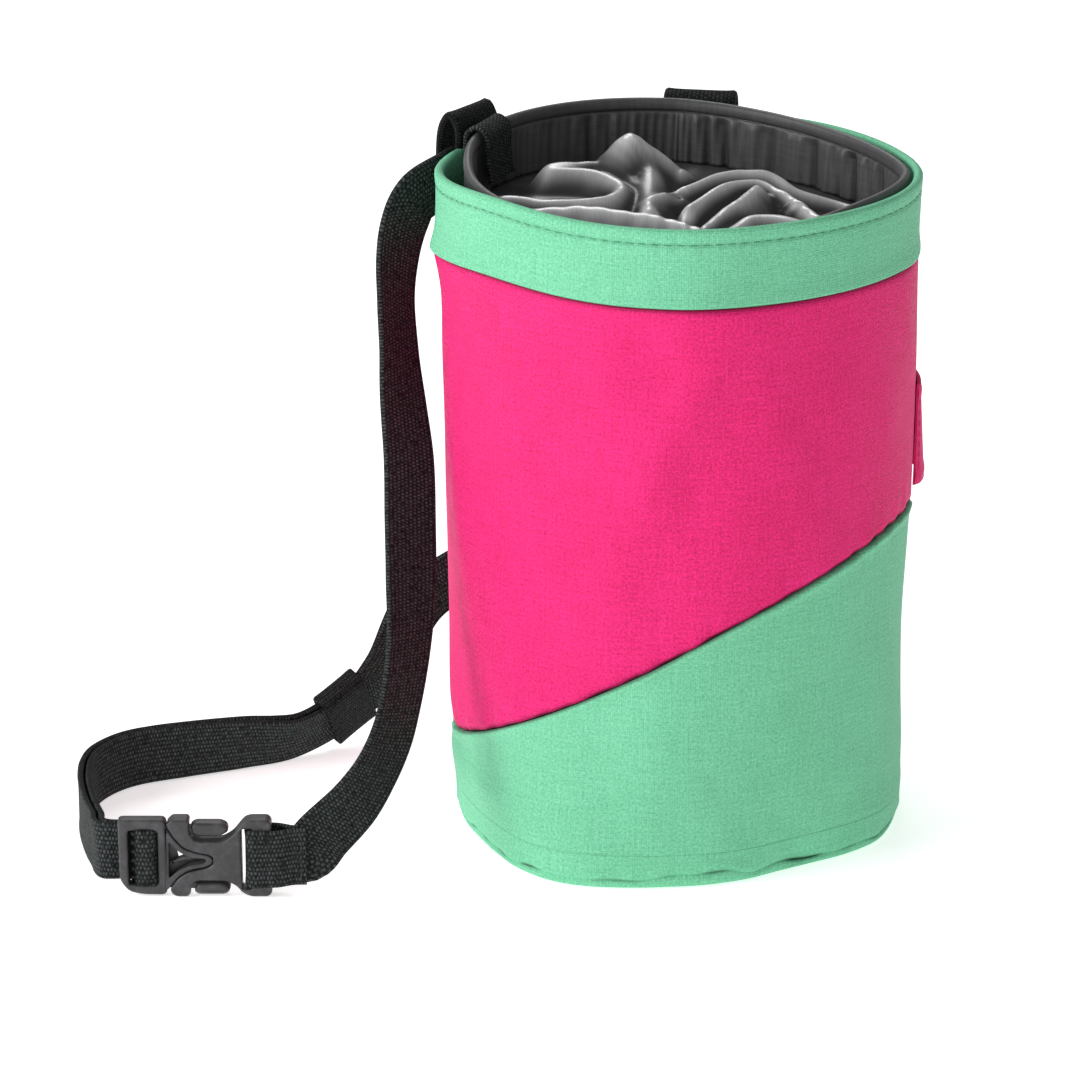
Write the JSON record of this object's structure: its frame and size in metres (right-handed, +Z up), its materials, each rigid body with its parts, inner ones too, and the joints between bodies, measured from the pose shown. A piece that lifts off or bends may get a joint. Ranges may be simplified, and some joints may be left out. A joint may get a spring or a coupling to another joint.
{
  "type": "climbing chalk bag",
  "caption": "Round-based cloth chalk bag with a twist closure in its mouth, belt loops, a brush sleeve and a buckled waist belt laid beside it.",
  "frame": {"origin": "centre of the base, on the surface that the bag stands on", "axes": "+Z up, -Y out of the bag's front, +X to the side that carries the brush sleeve, the belt lies towards -X"},
  "size_m": [0.2325, 0.1375, 0.1885],
  "materials": {
    "mint_cloth": "matt woven canvas",
    "pink_cloth": "matt woven canvas",
    "grey_lining": "smooth gathered lining",
    "grey_satin": "soft satin sheen",
    "black_webbing": "ribbed woven webbing",
    "black_plastic": "moulded, faint sheen"
  },
  "bodies": {
    "root": {"rim_band": "mint_cloth", "body_panel": "pink_cloth", "lower_panel": "mint_cloth", "base_panel": "mint_cloth", "twist_ring": "grey_lining", "closure": "grey_satin", "ring_tab": "black_webbing", "belt_loop_left": "black_webbing", "belt_loop_right": "black_webbing", "brush_loop": "pink_cloth", "belt_webbing": "black_webbing", "belt_tail": "black_webbing", "belt_keeper": "black_webbing", "buckle_male": "black_plastic", "buckle_female": "black_plastic"}
  },
  "joints": []
}
